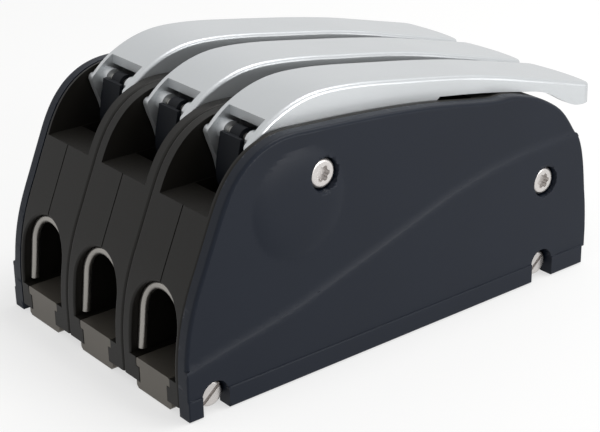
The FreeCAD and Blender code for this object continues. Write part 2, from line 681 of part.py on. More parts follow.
def make_spring():
    """Torsion spring on the cam's sleeve: one tail in the cam, one on the peg of the shell."""
    rise = SPRING_PITCH / 2
    pieces = []
    for k in range(SPRING_HALF_TURNS):
        side = 1 if k % 2 == 0 else -1
        start = V(side * SPRING_R, 0, k * rise)
        pieces.append(wire_bend(start, V(0, 0, (k + 0.5) * rise), V(0, side, 0), 180))
    first = V(SPRING_R, 0, 0)
    last = V(-SPRING_R, 0, SPRING_HALF_TURNS * rise)
    pieces.append(wire_bend(first, first - V(0, 0, SPRING_BEND), V(0, -1, 0), 90))
    pieces.append(Part.makeCylinder(SPRING_WIRE_R, SPRING_TAIL,
                                    first - V(0, SPRING_BEND, SPRING_BEND), V(0, 0, -1)))
    pieces.append(Part.makeCylinder(SPRING_WIRE_R, SPRING_LEG, last, V(0, -1, 0)))
    wire = pieces[0].fuse(pieces[1:])
    wire.rotate(V(0, 0, 0), V(0, 0, 1), 180)
    wire.rotate(V(0, 0, 0), V(1, 0, 0), -90)
    wire.translate(V(CAM_AXIS[0], SPRING_START, CAM_AXIS[1]))
    return wire


# Side covers

def make_cover(screw_axes):
    """Near cover. Its inner side lies at Y = 0 and it grows towards -Y."""
    plain = rounded_face(prism(body_outline(0), -COVER_FACE, 0), COVER_ROUND, -COVER_FACE)
    low_z = COVER_BEAD_Z - 1
    front, rear = COVER_CREASE[0], COVER_CREASE[-1]
    below_crease = [curve(COVER_CREASE), line(rear, (rear[0], low_z)),
                    line((rear[0], low_z), (front[0], low_z)), line((front[0], low_z), front)]
    panel = prism(body_outline(0), -COVER_PANEL, 0).common(prism(below_crease, -COVER_PANEL, 0))
    panel = rounded_face(panel, PANEL_ROUND, -COVER_PANEL)
    bead = box(0, BODY_REAR_X - COVER_BEAD_SHORT, -COVER_BEAD, 0, 0, COVER_BEAD_Z)
    bead = rounded_face(bead, BEAD_ROUND, -COVER_BEAD)
    cover = plain.fuse([panel, bead])
    cuts = []
    for axis in screw_axes:
        cuts.append(rod(axis, RECESS_R, -COVER_BEAD - 1, -RECESS_FLOOR))
        cuts.append(rod(axis, SCREW_R + 0.1, -COVER_BEAD, 1))
    for x, top in zip(BASE_BOLT_X, NOTCH_TOP_Z):
        spring_z = top - NOTCH_HALF
        cuts.append(box(x - NOTCH_HALF, x + NOTCH_HALF, -COVER_BEAD - 1, 1, -1, spring_z))
        cuts.append(rod((x, spring_z), NOTCH_HALF, -COVER_BEAD - 1, 1))
    return cover.cut(cuts)


# Fasteners

def make_cover_screw():
    """Head outwards along -Y, underside of the head at Y = 0."""
    head = Part.makeCylinder(HEAD_R, HEAD_HEIGHT, V(0, 0, 0), V(0, -1, 0))
    head = rounded_face(head, HEAD_ROUND, -HEAD_HEIGHT)
    shank = Part.makeCylinder(SCREW_R, SCREW_LENGTH, V(0, 0, 0), V(0, 1, 0))
    lobes = []
    for k in range(6):
        a = math.radians(60 * k)
        centre = V(SOCKET_R * 0.72 * math.cos(a), 0, SOCKET_R * 0.72 * math.sin(a))
        lobes.append(Part.makeCylinder(SOCKET_R * 0.3, SOCKET_DEPTH + 1,
                                       centre + V(0, -HEAD_HEIGHT + SOCKET_DEPTH, 0), V(0, -1, 0)))
    core = Part.makeCylinder(SOCKET_R * 0.78, SOCKET_DEPTH + 1, V(0, -HEAD_HEIGHT + SOCKET_DEPTH, 0),
                             V(0, -1, 0))
    return head.fuse(shank).cut([core.fuse(lobes)])


def make_rod(radius, half):
    """Tapped at both ends for the cover screws."""
    bar = Part.makeCylinder(radius, 2 * half, V(0, -half, 0), V(0, 1, 0))
    depth = SCREW_LENGTH
    taps = [Part.makeCylinder(SCREW_R + SEAT_PLAY, depth + 1, V(0, -half - 1, 0), V(0, 1, 0)),
            Part.makeCylinder(SCREW_R + SEAT_PLAY, depth + 1, V(0, half - depth, 0), V(0, 1, 0))]
    return bar.cut(taps)


def make_base_bolt():
    head = Part.makeCylinder(BASE_HEAD_R, BASE_HEAD_HEIGHT, V(0, -ROW_HALF, 0), V(0, -1, 0))
    face_y = -ROW_HALF - BASE_HEAD_HEIGHT
    head = rounded_face(head, BASE_HEAD_ROUND, face_y)
    length = 2 * ROW_HALF + BASE_NUT_HEIGHT + BOLT_PROUD
    shank = Part.makeCylinder(BASE_BOLT_R, length, V(0, -ROW_HALF, 0), V(0, 1, 0))
    slot = box(-BASE_HEAD_R - 1, BASE_HEAD_R + 1, face_y - 1, face_y + DRIVER_SLOT_DEPTH,
               -DRIVER_SLOT_HALF, DRIVER_SLOT_HALF)
    slot.rotate(V(0, 0, 0), V(0, 1, 0), DRIVER_SLOT_ANGLE)
    return head.fuse(shank).cut(slot)


def make_base_nut():
    nut = hexagon(BASE_NUT_FLATS, V(0, ROW_HALF, 0), V(0, 1, 0), BASE_NUT_HEIGHT)
    return nut.cut(Part.makeCylinder(BASE_BOLT_R + SEAT_PLAY, 20, V(0, ROW_HALF - 1, 0), V(0, 1, 0)))


def put(shape, axis, y=0.0):
    copy = shape.copy()
    copy.translate(at(axis, y))
    return copy


def build():
    handle = make_handle()
    link = make_link()
    cam = make_cam()
    spring = make_spring()
    base_plate = make_base_plate()
    front_bail = bail(BAIL_WIRE_R, BAIL_LEAN, BAIL_FRONT_X)
    rear_bail = bail(BAIL_WIRE_R, -BAIL_LEAN, BAIL_REAR_X)
    cam_axle = rod(CAM_AXIS, CAM_AXLE_R, -OUTER_HALF + 0.3, OUTER_HALF - 0.3)
    link_pin = rod(LINK_AXIS, LINK_PIN_R, -HANDLE_HALF + 0.2, HANDLE_HALF - 0.2)
    cam_pin = rod(CAM_PIN_AXIS, CAM_PIN_R, -CAM_HALF, CAM_HALF)

    for n, y in enumerate(MODULE_Y, start=1):
        near_outer = OUTER_HALF if n == 1 else PITCH / 2
        far_outer = OUTER_HALF if n == MODULES else PITCH / 2
        save("near_shell_%d" % n, moved(make_shell(near_outer, -1), y))
        save("far_shell_%d" % n, moved(make_shell(far_outer, 1), y))
        save("base_plate_%d" % n, moved(base_plate, y))
        save("front_bail_%d" % n, moved(front_bail, y))
        save("rear_bail_%d" % n, moved(rear_bail, y))
        save("handle_%d" % n, moved(handle, y))
        save("link_%d" % n, moved(link, y))
        save("link_pin_%d" % n, moved(link_pin, y))
        save("cam_%d" % n, moved(cam, y))
        save("cam_pin_%d" % n, moved(cam_pin, y))
        save("cam_axle_%d" % n, moved(cam_axle, y))
        save("cam_spring_%d" % n, moved(spring, y))

    near_cover = make_cover([HANDLE_AXIS, TIE_ROD_AXIS])
    near_cover = moved(near_cover, -ROW_HALF)
    save("near_cover", near_cover)
    save("far_cover", mirrored(near_cover))

    screw = make_cover_screw()
    seat_y = -ROW_HALF - RECESS_FLOOR
    for place, axis in (("front", HANDLE_AXIS), ("rear", TIE_ROD_AXIS)):
        near_screw = put(screw, axis, seat_y)
        save("near_screw_" + place, near_screw)
        save("far_screw_" + place, mirrored(near_screw))
    save("handle_axle", put(make_rod(HANDLE_AXLE_R, ROW_HALF), HANDLE_AXIS))
    save("tie_rod", put(make_rod(TIE_ROD_R, ROW_HALF), TIE_ROD_AXIS))

    bolt = make_base_bolt()
    nut = make_base_nut()
    for place, x in zip(("front", "rear"), BASE_BOLT_X):
        save("base_bolt_" + place, put(bolt, (x, BASE_BOLT_Z)))
        save("base_nut_" + place, put(nut, (x, BASE_BOLT_Z)))


build()
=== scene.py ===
import logging
import math
from dataclasses import dataclass, field
from enum import Enum

import bmesh
import bpy
import numpy as np
from mathutils import Euler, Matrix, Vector
from mathutils.bvhtree import BVHTree


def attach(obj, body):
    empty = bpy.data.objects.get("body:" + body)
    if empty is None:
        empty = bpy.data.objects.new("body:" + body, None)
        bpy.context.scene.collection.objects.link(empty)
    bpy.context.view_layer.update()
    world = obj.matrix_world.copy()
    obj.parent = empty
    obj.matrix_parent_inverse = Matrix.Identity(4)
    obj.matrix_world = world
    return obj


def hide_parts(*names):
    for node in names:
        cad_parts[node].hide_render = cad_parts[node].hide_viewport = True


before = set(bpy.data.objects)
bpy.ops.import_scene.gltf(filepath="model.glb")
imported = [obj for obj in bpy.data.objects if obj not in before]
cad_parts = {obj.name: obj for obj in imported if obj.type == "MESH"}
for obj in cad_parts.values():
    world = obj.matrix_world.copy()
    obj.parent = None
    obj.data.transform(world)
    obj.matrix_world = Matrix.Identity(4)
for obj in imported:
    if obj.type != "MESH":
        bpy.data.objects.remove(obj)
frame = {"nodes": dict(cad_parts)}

log = logging.getLogger("rope_clutch")

MM = 0.001
# Points of a cover that lie closer together than this count as one, and points
# this near to the plain face count as lying on it
TINY = 0.00005
# A wave texture of scale 1 runs through this many radians in one unit of length
WAVE_RADIANS = 20


class Process(Enum):
    """How a surface was made, which decides its relief and its streaks."""

    MOULDED = "moulded"
    PAINTED_CASTING = "painted casting"
    RAW_CASTING = "raw casting"
    DRAWN = "drawn"
    TURNED = "turned"
    EXTRUDED = "extruded"


@dataclass(frozen=True)
class Finish:
    """One real material with its process and the real sizes of its pattern.

    Args:
        name: Blender material name.
        process: How the surface was made.
        colour: Mean colour as an sRGB hex string.
        alternate: Second colour of the slow variation, as an sRGB hex string.
        roughness: Lowest and highest roughness.
        metallic: Share of metal in the surface.
        grain_mm: Size of the fine relief in millimetres.
        relief_mm: Height of the fine relief in millimetres.
        drift_mm: Size of the slow colour variation in millimetres.
        streak: How many times longer the grain is along its lay than across it.
        coat: Weight of the clear top layer.
        coat_roughness: Roughness of that layer.
        gloss: Strength of the mirror reflection, where 0.5 is plain plastic.
        ior: Index of refraction of a surface that isn't bare metal.
    """

    name: str
    process: Process
    colour: str
    alternate: str
    roughness: tuple[float, float]
    metallic: float
    grain_mm: float
    relief_mm: float
    drift_mm: float = 30.0
    streak: float = 1.0
    coat: float = 0.0
    coat_roughness: float = 0.25
    gloss: float = 0.5
    ior: float = 1.5


# Moulded grain is really about 0.15 mm and paint peel about 0.3 mm. Both are
# drawn two to three times as coarse, so that they still show at this size. Rings
# from turning are really about 0.2 mm apart and are drawn 1.4 to 1.9 mm apart: the
# grain of a turned finish is one radian of its rings, and 6.3 of them make a ring.
FINISHES = {
    # Glass fibres under the skin give a satin blue black with wide, dull highlights
    "cover_nylon": Finish(
        "Glass-filled nylon, moulded, blue black", Process.MOULDED,
        "#0f1520", "#131a26", (0.40, 0.50), 0.0, 0.45, 0.010, 38.0, gloss=0.17, ior=1.53),
    # The same moulding in a warmer black, with a rougher skin than the covers
    "shell_nylon": Finish(
        "Glass-filled nylon, moulded, brown black", Process.MOULDED,
        "#0d0b08", "#110f0b", (0.44, 0.58), 0.0, 0.45, 0.010, 30.0, gloss=0.24, ior=1.53),
    # Silver paint over a casting: even pale grey, soft sheen and a faint orange peel
    "handle_alloy": Finish(
        "Aluminium casting, silver paint", Process.PAINTED_CASTING,
        "#bdc0c2", "#c4c7c9", (0.32, 0.42), 0.65, 0.80, 0.006, 26.0, coat=0.10),
    # Anodised extrusion: fine lines along the rope way that break up the glints
    "plate_alloy": Finish(
        "Aluminium extrusion, black anodised", Process.EXTRUDED,
        "#5e5a53", "#6b665f", (0.36, 0.50), 0.55, 0.22, 0.006, 24.0, streak=22.0),
    # Drawn wire: bright bands that follow the wire, greyed by draw marks
    "bail_steel": Finish(
        "Stainless wire, drawn", Process.DRAWN,
        "#8f8c88", "#9a9792", (0.22, 0.36), 0.92, 0.12, 0.004, 12.0, streak=14.0),
    # Turned bar: clean metal with faint rings from the tool
    "axle_steel": Finish(
        "Stainless bar, turned", Process.TURNED,
        "#b4b2ae", "#c0beb9", (0.24, 0.36), 0.95, 0.30, 0.004, 10.0),
    # Spring wire: rougher than the bails, in two greys
    "spring_steel": Finish(
        "Spring wire, drawn", Process.DRAWN,
        "#9c9a96", "#87857f", (0.28, 0.42), 0.90, 0.10, 0.003, 8.0, streak=6.0),
    # Nearly black moulding that shows only a thin rim of light
    "link_nylon": Finish(
        "Glass-filled nylon, moulded, black", Process.MOULDED,
        "#0b0e13", "#101319", (0.46, 0.60), 0.0, 0.40, 0.010, 18.0, gloss=0.12, ior=1.53),
    # Hard anodised casting: dull mid grey with small pits
    "cam_alloy": Finish(
        "Aluminium casting, hard anodised", Process.RAW_CASTING,
        "#7f8184", "#8d8f91", (0.40, 0.56), 0.70, 0.70, 0.022, 14.0),
    # Turned heads: pale and slightly warm, with faint rings along the rim
    "screw_steel": Finish(
        "Stainless screw, turned", Process.TURNED,
        "#c6c2c0", "#cfcbc8", (0.22, 0.34), 0.90, 0.22, 0.004, 6.0),
}


def linear(hex_colour: str) -> tuple[float, float, float, float]:
    """Turns an sRGB hex colour into the linear colour that shaders take.

    Args:
        hex_colour: Six hex digits after a hash sign.

    Returns:
        Red, green, blue and alpha between 0 and 1.
    """
    parts = [int(hex_colour[i:i + 2], 16) / 255 for i in (1, 3, 5)]
    # The two stretches of the sRGB curve, a straight one for the darkest colours
    lin = [c / 12.92 if c <= 0.04045 else ((c + 0.055) / 1.055) ** 2.4 for c in parts]
    return (*lin, 1.0)


def add_node(tree: bpy.types.NodeTree, kind: str, links: dict | None = None,
             **settings) -> bpy.types.Node:
    """Adds one node, sets its properties and sockets, and links its inputs.

    Args:
        tree: Node tree to add to.
        kind: Blender node type.
        links: Input name or index to the output socket that feeds it.
        **settings: Node properties. A dict named inputs sets socket values.

    Returns:
        The new node.
    """
    node = tree.nodes.new(kind)
    values = settings.pop("inputs", {})
    for key, value in settings.items():
        setattr(node, key, value)
    for key, value in values.items():
        node.inputs[key].default_value = value
    for key, output in (links or {}).items():
        tree.links.new(output, node.inputs[key])
    return node


@dataclass
class SurfaceLibrary:
    """Builds each procedural material once and hands it out by slot.

    Args:
        finishes: Finishes by slot.
        made: Materials that are built already, by slot.
        drift_detail: Finer layers of the slow colour variation.
        drift_roughness: Weight of those layers.
        grain_detail: Finer layers of the fine relief.
        grain_roughness: Weight of those layers.
        ring_stray: How far the rings of turned metal stray.
        ring_detail_scale: Size of the finer layers of that straying.
        pit_scale: Pits of a raw casting to a grain.
        pit_floor: Height that the relief keeps in a pit.
    """

    finishes: dict[str, Finish]
    made: dict[str, bpy.types.Material] = field(default_factory=dict)
    drift_detail: float = 3.0
    drift_roughness: float = 0.55
    grain_detail: float = 2.0
    grain_roughness: float = 0.5
    ring_stray: float = 1.2
    ring_detail_scale: float = 1.5
    pit_scale: float = 0.6
    pit_floor: float = 0.15

    def material(self, slot: str) -> bpy.types.Material:
        """Returns the material of a record slot.

        Args:
            slot: Material slot of the record.

        Returns:
            The Blender material.
        """
        if slot not in self.made:
            self.made[slot] = self._build(self.finishes[slot])
        return self.made[slot]

    def _build(self, finish: Finish) -> bpy.types.Material:
        """Builds the material of one finish.

        Args:
            finish: The finish to build.

        Returns:
            The Blender material.
        """
        material = bpy.data.materials.new(finish.name)
        material.use_nodes = True
        tree = material.node_tree
        tree.nodes.clear()
        place = add_node(tree, "ShaderNodeTexCoord").outputs["Object"]
        drift = add_node(tree, "ShaderNodeTexNoise", {"Vector": place}, inputs={
            "Scale": 1 / (finish.drift_mm * MM), "Detail": self.drift_detail,
            "Roughness": self.drift_roughness})
        colour = add_node(tree, "ShaderNodeMix", {"Factor": drift.outputs["Fac"]},
                          data_type="RGBA")
        colour.inputs["A"].default_value = linear(finish.colour)
        colour.inputs["B"].default_value = linear(finish.alternate)
        relief = self._relief(tree, place, finish)
        rough = add_node(tree, "ShaderNodeMapRange", {"Value": relief}, inputs={
            "To Min": finish.roughness[0], "To Max": finish.roughness[1]})
        bump = add_node(tree, "ShaderNodeBump", {"Height": relief}, inputs={
            "Distance": finish.relief_mm * MM, "Strength": 1.0})
        shader = add_node(tree, "ShaderNodeBsdfPrincipled", {
            "Base Color": colour.outputs["Result"],
            "Roughness": rough.outputs["Result"],
            "Normal": bump.outputs["Normal"],
        }, inputs={"Metallic": finish.metallic, "Coat Weight": finish.coat,
                   "Coat Roughness": finish.coat_roughness,
                   "Specular IOR Level": finish.gloss, "IOR": finish.ior})
        add_node(tree, "ShaderNodeOutputMaterial", {"Surface": shader.outputs["BSDF"]})
        return material

    def _relief(self, tree: bpy.types.NodeTree, place: bpy.types.NodeSocket,
                finish: Finish) -> bpy.types.NodeSocket:
        """Adds the fine relief of a process.

        Args:
            tree: Node tree of the material.
            place: Coordinate socket in metres.
            finish: The finish to build.

        Returns:
            The height socket, from 0 to 1.
        """
        scale = 1 / (finish.grain_mm * MM)
        if finish.process is Process.TURNED:
            rings = add_node(tree, "ShaderNodeTexWave", {"Vector": place},
                             wave_type="BANDS", bands_direction="Y",
                             inputs={"Scale": scale / WAVE_RADIANS,
                                     "Distortion": self.ring_stray,
                                     "Detail": self.grain_detail,
                                     "Detail Scale": self.ring_detail_scale})
            return rings.outputs["Fac"]
        if finish.process in (Process.DRAWN, Process.EXTRUDED):
            along = "X" if finish.process is Process.EXTRUDED else "Z"
            stretch = [1 / finish.streak if axis == along else 1.0 for axis in "XYZ"]
            lay = add_node(tree, "ShaderNodeMapping", {"Vector": place},
                           inputs={"Scale": Vector(stretch)})
            place = lay.outputs["Vector"]
        grain = add_node(tree, "ShaderNodeTexNoise", {"Vector": place}, inputs={
            "Scale": scale, "Detail": self.grain_detail, "Roughness": self.grain_roughness})
        if finish.process is not Process.RAW_CASTING:
            return grain.outputs["Fac"]
        pits = add_node(tree, "ShaderNodeTexVoronoi", {"Vector": place},
                        inputs={"Scale": scale * self.pit_scale})
        both = add_node(tree, "ShaderNodeMath", {0: grain.outputs["Fac"],
                                                 1: pits.outputs["Distance"]},
                        operation="MULTIPLY_ADD")
        both.inputs[2].default_value = self.pit_floor
        return both.outputs["Value"]


def ease(share: float) -> float:
    """Runs a share from 0 to 1 with flat ends, and holds it there beyond them."""
    share = min(max(share, 0.0), 1.0)
    return share * share * (3 - 2 * share)


@dataclass
class Assembly:
    """A group of pieces that is finished together.

    Args:
        nodes: CAD objects by node name.
        surfaces: Materials by slot.
    """

    nodes: dict[str, bpy.types.Object]
    surfaces: SurfaceLibrary
    title = "assembly"
    # Edges sharper than this stay crisp
    crisp_deg = 32.0

    def show(self, mesh: bpy.types.Mesh, name: str, node: str, body: str, slot: str,
             even: bool = True) -> None:
        """Shows a redrawn mesh in place of the CAD piece that it comes from.

        Args:
            mesh: Redrawn copy of the CAD mesh.
            name: Name of the new piece.
            node: CAD node that it replaces.
            body: Body that it rides on.
            slot: Material slot of the record.
            even: Whether the large faces set the shading at their edges.
        """
        piece = bpy.data.objects.new(name, mesh)
        bpy.context.scene.collection.objects.link(piece)
        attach(piece, body)
        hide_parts(node)
        self.dress(piece, slot)
        if even:
            piece.modifiers.new("Even shading", "WEIGHTED_NORMAL").keep_sharp = True

    def dress(self, piece: bpy.types.Object, slot: str) -> None:
        """Gives a piece its material and its shading.

        Args:
            piece: Object of a CAD node, or a piece that replaces one.
            slot: Material slot of the record.
        """
        piece.data.materials.clear()
        piece.data.materials.append(self.surfaces.material(slot))
        piece.data.shade_smooth()
        piece.data.set_sharp_from_angle(angle=math.radians(self.crisp_deg))
        log.info("%s: %s in %s", self.title, piece.name, self.surfaces.material(slot).name)


@dataclass
class Shoulder:
    """Rounds the shoulder of the housing, where its front meets its top.

    The outline is held as radii round a centre inside the housing. An angle of 0
    points to the rear, 90 degrees straight up and 180 degrees to the front.

    Args:
        outline: Mesh whose outer edge is the housing's outline.
        depth_y: Distance from the middle of the row at which it is measured.
        centre: Point from which the outline is measured, as x and z.
        ray_start: Radius at which the measuring rays start.
        first_deg: Angle where the redrawn part starts, on the top.
        last_deg: Angle where it ends, on the front.
        blend_deg: Angle over which it runs into the old outline.
        samples: Number of measured radii.
        degree: Degree of the line that is fitted to them.
        rim: Distance inside the outline that moves along in full.
        reach: Distance inside the outline where nothing moves any more.
        cut_step: Distance of the cuts that give the faces their points.
        sweeps: Rounds of filling the hollows of the line, which make it convex.
        angles: Angles of the measured radii, in radians.
        radii: Radii of the outline as it is.
        fair: Radii of the smooth line.
    """

    outline: bpy.types.Mesh
    depth_y: float = 0.0482
    centre: tuple[float, float] = (-0.030, 0.036)
    ray_start: float = 0.2
    first_deg: float = 88.0
    last_deg: float = 172.0
    blend_deg: float = 14.0
    samples: int = 170
    degree: int = 6
    rim: float = 0.0060
    reach: float = 0.0130
    cut_step: float = 0.0016
    sweeps: int = 6000
    angles: np.ndarray = field(init=False)
    radii: np.ndarray = field(init=False)
    fair: np.ndarray = field(init=False)

    def __post_init__(self) -> None:
        """Measures the outline and fits one smooth line to it."""
        work = bmesh.new()
        work.from_mesh(self.outline)
        tree = BVHTree.FromBMesh(work)
        work.free()
        self.angles = np.radians(np.linspace(self.first_deg, self.last_deg, self.samples))
        self.radii = np.array([self._measure(tree, angle) for angle in self.angles])
        fit = np.polyfit(self.angles, self.radii, self.degree)
        self.fair = np.polyval(fit, self.angles)
        spread = math.cos(self.angles[1] - self.angles[0])
        for _ in range(self.sweeps):
            # No radius may be shorter than that of the chord between its neighbours
            before, after = self.fair[:-2], self.fair[2:]
            chord = 2 * before * after * spread / (before + after)
            self.fair[1:-1] = np.maximum(self.fair[1:-1], chord)

    def _measure(self, tree: BVHTree, angle: float) -> float:
        """Measures the outline in one direction.

        Args:
            tree: Tree of the mesh.
            angle: Direction from the centre, in radians.

        Returns:
            The radius in metres.
        """
        way = Vector((math.cos(angle), 0.0, math.sin(angle)))
        middle = Vector((self.centre[0], -self.depth_y, self.centre[1]))
        return self.ray_start - tree.ray_cast(middle + way * self.ray_start, -way)[3]

    def round_off(self, mesh: bpy.types.Mesh) -> None:
        """Moves the points near the shoulder on to the smooth line.

        Args:
            mesh: Mesh of a piece that shares the outline.
        """
        work = bmesh.new()
        work.from_mesh(mesh)
        faces = [face for face in work.faces if self._touches(face)]
        near = faces + list({part for face in faces for part in (*face.verts, *face.edges)})
        left = self.centre[0] - max(self.radii)
        top = self.centre[1] + max(self.radii)
        for axis, low, high in (((1, 0, 0), left, self.centre[0]),
                                ((0, 0, 1), self.centre[1], top)):
            for i in range(int((high - low) / self.cut_step)):
                place = Vector(axis) * (low + i * self.cut_step)
                near = bmesh.ops.bisect_plane(work, geom=near, plane_co=place,
                                              plane_no=axis)["geom"]
        for vertex in work.verts:
            x, z = vertex.co.x - self.centre[0], vertex.co.z - self.centre[1]
            angle, radius = math.atan2(z, x), math.hypot(x, z)
            if not self.angles[0] < angle < self.angles[-1]:
                continue
            old = float(np.interp(angle, self.angles, self.radii))
            new = float(np.interp(angle, self.angles, self.fair))
            inside = (old - radius - self.rim) / (self.reach - self.rim)
            margin = math.degrees(min(angle - self.angles[0], self.angles[-1] - angle))
            share = ease(1.0 - inside) * ease(margin / self.blend_deg)
            scale = 1.0 + (new - old) * share / radius
            vertex.co.x = self.centre[0] + x * scale
            vertex.co.z = self.centre[1] + z * scale
        work.to_mesh(mesh)
        work.free()

    def _touches(self, face: bmesh.types.BMFace) -> bool:
        """Tells whether a face reaches into the part that is redrawn."""
        return (min(v.co.x for v in face.verts) < self.centre[0]
                and max(v.co.z for v in face.verts) > self.centre[1])


@dataclass
class SideCovers(Assembly):
    """The two outer covers and the screws that hold them.

    The panel of each cover swells out of the face in a soft wave, and a shallow
    dome lies in front of it.

    Args:
        shoulder: The smooth line of the housing's shoulder.
        crease: Line where the panel starts, as x and z in metres.
        wave: Distance over which the panel rises, in metres.
        step_end: Distance past the crease up to which the CAD panel's step is redrawn.
        face_y: Distance of the plain face from the middle of the row.
        panel_y: Distance of the panel.
        edge_y: Where the rounding of the cover's edge starts.
        ledge_z: Top of the ledge along the foot, which stays as it is.
        dome: Middle of the dome, as x and z.
        dome_radius: Radius of the dome.
        dome_rise: Height of the dome.
        dome_power: Power that keeps the dome full until near its rim.
        mesh_step: Distance of the cuts that give the faces their points.
    """

    shoulder: Shoulder
    crease: tuple[tuple[float, float], ...] = (
        (-0.0840, 0.0160), (-0.0766, 0.0165), (-0.0658, 0.0187), (-0.0521, 0.0212),
        (-0.0370, 0.0244), (-0.0065, 0.0334), (0.0126, 0.0394), (0.0257, 0.0433),
        (0.0426, 0.0468), (0.0601, 0.0489), (0.0782, 0.0494), (0.0942, 0.0490))
    wave: float = 0.0042
    step_end: float = 0.0012
    face_y: float = 0.0498
    panel_y: float = 0.0505
    edge_y: float = 0.0486
    ledge_z: float = 0.0072
    dome: tuple[float, float] = (-0.0359, 0.0570)
    dome_radius: float = 0.0172
    dome_rise: float = 0.0010
    dome_power: int = 4
    mesh_step: float = 0.0014
    title = "side covers"

    def build(self) -> None:
        """Builds both covers over their CAD nodes and finishes their screws."""
        for side in ("near", "far"):
            node = f"{side}_cover"
            mesh = self.nodes[node].data.copy()
            self.shoulder.round_off(mesh)
            self._shape(mesh)
            self.show(mesh, f"{side}_side_cover", node, "body", "cover_nylon")
            for place in ("front", "rear"):
                self.dress(self.nodes[f"{side}_screw_{place}"], "screw_steel")

    def _shape(self, mesh: bpy.types.Mesh) -> None:
        """Gives the outer face its wave and its dome.

        Args:
            mesh: Mesh of a cover, in metres.
        """
        work = bmesh.new()
        work.from_mesh(mesh)
        lows = [min(v.co[axis] for v in work.verts) for axis in (0, 2)]
        highs = [max(v.co[axis] for v in work.verts) for axis in (0, 2)]
        for axis, low, high in zip(((1, 0, 0), (0, 0, 1)), lows, highs):
            for i in range(1, math.ceil((high - low) / self.mesh_step)):
                place = Vector(axis) * (low + i * self.mesh_step)
                everything = work.verts[:] + work.edges[:] + work.faces[:]
                bmesh.ops.bisect_plane(work, geom=everything, plane_co=place, plane_no=axis)
        for vertex in work.verts:
            x, z = vertex.co.x, vertex.co.z
            out = abs(vertex.co.y)
            if out < self.edge_y or z < self.ledge_z:
                continue
            beyond = self._beyond(x, z)
            drawn = self.panel_y if beyond > 0 else self.face_y
            height = self._height(x, z, beyond)
            share = min((out - self.edge_y) / (drawn - self.edge_y), 1.0)
            # The CAD step is flattened first, so that no sliver of it is left
            if out > self.face_y - TINY and beyond < self.step_end:
                share, out = 1.0, drawn
            vertex.co.y = math.copysign(out + (height - drawn) * share, vertex.co.y)
        bmesh.ops.remove_doubles(work, verts=work.verts[:], dist=TINY)
        work.to_mesh(mesh)
        work.free()

    def _beyond(self, x: float, z: float) -> float:
        """Distance of a point past the crease, on to the panel.

        Args:
            x: Place along the cover, in metres.
            z: Height, in metres.

        Returns:
            The distance, which is negative on the plain face.
        """
        for (x0, z0), (x1, z1) in zip(self.crease, self.crease[1:]):
            if x <= x1:
                break
        slope = (z1 - z0) / (x1 - x0)
        return (z0 + slope * (x - x0) - z) / math.hypot(1, slope)

    def _height(self, x: float, z: float, beyond: float) -> float:
        """Distance of the shaped face from the middle of the row.

        Args:
            x: Place along the cover, in metres.
            z: Height, in metres.
            beyond: Distance past the crease.

        Returns:
            The distance in metres.
        """
        rise = (self.panel_y - self.face_y) * ease((beyond + self.wave / 2) / self.wave)
        reach = math.hypot(x - self.dome[0], z - self.dome[1]) / self.dome_radius
        dome = self.dome_rise * max(1 - reach ** self.dome_power, 0.0)
        return self.face_y + max(rise, dome)


@dataclass
class Module(Assembly):
    """One clutch without its handle: housing, base plate, bails, cam and link.

    Args:
        shoulder: The smooth line of the housing's shoulder.
        number: Number of the clutch, from the near one.
    """

    shoulder: Shoulder
    number: int
    title = "module"

    def build(self) -> None:
        """Builds the two halves of the housing and finishes the other pieces."""
        for side in ("near", "far"):
            node = f"{side}_shell_{self.number}"
            mesh = self.nodes[node].data.copy()
            self.shoulder.round_off(mesh)
            self.show(mesh, f"{side}_housing_{self.number}", node, "body", "shell_nylon")
        slots = {
            "base_plate": "plate_alloy", "front_bail": "bail_steel", "rear_bail": "bail_steel",
            "link": "link_nylon", "link_pin": "axle_steel",
            "cam": "cam_alloy", "cam_pin": "axle_steel", "cam_axle": "axle_steel",
            "cam_spring": "spring_steel",
        }
        for stem, slot in slots.items():
            self.dress(self.nodes[f"{stem}_{self.number}"], slot)


